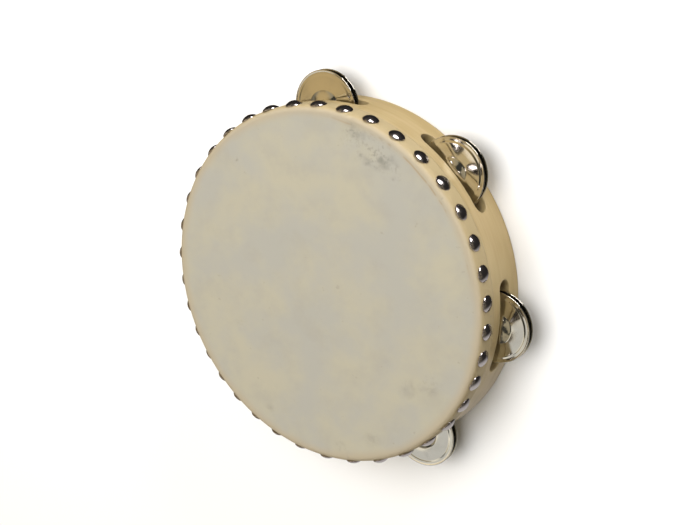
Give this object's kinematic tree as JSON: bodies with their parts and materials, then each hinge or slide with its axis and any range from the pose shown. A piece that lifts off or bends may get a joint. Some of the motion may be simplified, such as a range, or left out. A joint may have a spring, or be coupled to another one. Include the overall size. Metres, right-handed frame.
{
  "type": "tambourine",
  "caption": "Round wooden frame drum with a skin head tacked round its rim and paired metal jingles set in slots through its wall.",
  "frame": {"origin": "the hoop's axis on the plane of its rear rim, the rim that the drum lies on", "axes": "+Z along the hoop's axis from the rear rim to the head; +Y points nearly at the first pair of jingles, +X to the right of it seen from above"},
  "size_m": [0.2306, 0.2272, 0.0411],
  "materials": {
    "hoop_wood": "clear satin varnish",
    "head_skin": "natural matte skin",
    "tack_nickel": "polished nickel plate",
    "pin_steel": "bright drawn wire",
    "jingle_nickel": "polished nickel plate"
  },
  "bodies": {
    "drum": {"hoop": "hoop_wood", "head_skin": "head_skin", "tacks": "tack_nickel", "jingle_pin_1": "pin_steel", "jingle_pin_2": "pin_steel", "jingle_pin_3": "pin_steel", "jingle_pin_4": "pin_steel", "jingle_pin_5": "pin_steel", "jingle_pin_6": "pin_steel"},
    "jingle_1_front": {"jingle_1_front": "jingle_nickel"},
    "jingle_1_rear": {"jingle_1_rear": "jingle_nickel"},
    "jingle_2_front": {"jingle_2_front": "jingle_nickel"},
    "jingle_2_rear": {"jingle_2_rear": "jingle_nickel"},
    "jingle_3_front": {"jingle_3_front": "jingle_nickel"},
    "jingle_3_rear": {"jingle_3_rear": "jingle_nickel"},
    "jingle_4_front": {"jingle_4_front": "jingle_nickel"},
    "jingle_4_rear": {"jingle_4_rear": "jingle_nickel"},
    "jingle_5_front": {"jingle_5_front": "jingle_nickel"},
    "jingle_5_rear": {"jingle_5_rear": "jingle_nickel"},
    "jingle_6_front": {"jingle_6_front": "jingle_nickel"},
    "jingle_6_rear": {"jingle_6_rear": "jingle_nickel"}
  },
  "joints": [
    {"name": "jingle_1_front_slide", "type": "slide", "parent": "drum", "child": "jingle_1_front", "axis": [0, 0, 1], "range_m": [-0.00138, 0.00038]},
    {"name": "jingle_1_rear_slide", "type": "slide", "parent": "drum", "child": "jingle_1_rear", "axis": [0, 0, 1], "range_m": [-0.00038, 0.00138]},
    {"name": "jingle_2_front_slide", "type": "slide", "parent": "drum", "child": "jingle_2_front", "axis": [0, 0, 1], "range_m": [-0.00138, 0.00038]},
    {"name": "jingle_2_rear_slide", "type": "slide", "parent": "drum", "child": "jingle_2_rear", "axis": [0, 0, 1], "range_m": [-0.00038, 0.00138]},
    {"name": "jingle_3_front_slide", "type": "slide", "parent": "drum", "child": "jingle_3_front", "axis": [0, 0, 1], "range_m": [-0.00138, 0.00038]},
    {"name": "jingle_3_rear_slide", "type": "slide", "parent": "drum", "child": "jingle_3_rear", "axis": [0, 0, 1], "range_m": [-0.00038, 0.00138]},
    {"name": "jingle_4_front_slide", "type": "slide", "parent": "drum", "child": "jingle_4_front", "axis": [0, 0, 1], "range_m": [-0.00138, 0.00038]},
    {"name": "jingle_4_rear_slide", "type": "slide", "parent": "drum", "child": "jingle_4_rear", "axis": [0, 0, 1], "range_m": [-0.00038, 0.00138]},
    {"name": "jingle_5_front_slide", "type": "slide", "parent": "drum", "child": "jingle_5_front", "axis": [0, 0, 1], "range_m": [-0.00138, 0.00038]},
    {"name": "jingle_5_rear_slide", "type": "slide", "parent": "drum", "child": "jingle_5_rear", "axis": [0, 0, 1], "range_m": [-0.00038, 0.00138]},
    {"name": "jingle_6_front_slide", "type": "slide", "parent": "drum", "child": "jingle_6_front", "axis": [0, 0, 1], "range_m": [-0.00138, 0.00038]},
    {"name": "jingle_6_rear_slide", "type": "slide", "parent": "drum", "child": "jingle_6_rear", "axis": [0, 0, 1], "range_m": [-0.00038, 0.00138]}
  ]
}
